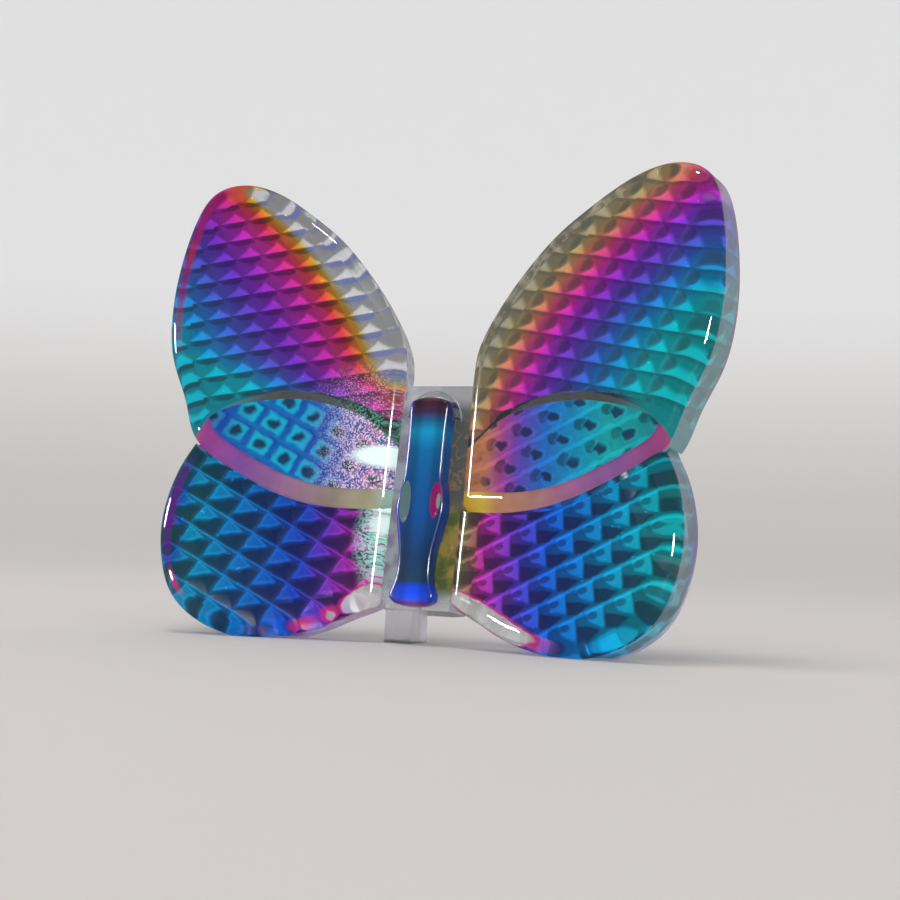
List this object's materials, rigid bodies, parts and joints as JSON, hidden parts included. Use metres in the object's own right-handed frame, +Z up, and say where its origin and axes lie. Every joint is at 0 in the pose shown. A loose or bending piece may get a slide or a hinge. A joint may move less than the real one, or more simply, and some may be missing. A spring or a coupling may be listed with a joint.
{
  "type": "butterfly ornament",
  "caption": "Free-standing butterfly ornament of iridescent pressed glass with domed, lattice-backed wings swept forward from a raised bar-shaped body.",
  "frame": {"origin": "centre of the bounding box at ground level, under the body", "axes": "+Z up, -Y towards the coated front, +X towards the wing on the right as seen from the front"},
  "size_m": [0.0714, 0.0161, 0.0559],
  "materials": {
    "wing_glass": "polished pressed glass with an iridescent coating on the front",
    "body_glass": "polished pressed glass with a deep blue iridescent coating",
    "clear_glass": "clear polished glass",
    "clear_bond": "clear cured adhesive"
  },
  "bodies": {
    "root": {"body": "body_glass", "web": "clear_glass", "left_forewing": "wing_glass", "left_hindwing": "wing_glass", "right_forewing": "wing_glass", "right_hindwing": "wing_glass", "body_bond": "clear_bond", "left_root_bond": "clear_bond", "left_lap_bond": "clear_bond", "right_root_bond": "clear_bond", "right_lap_bond": "clear_bond"}
  },
  "joints": []
}
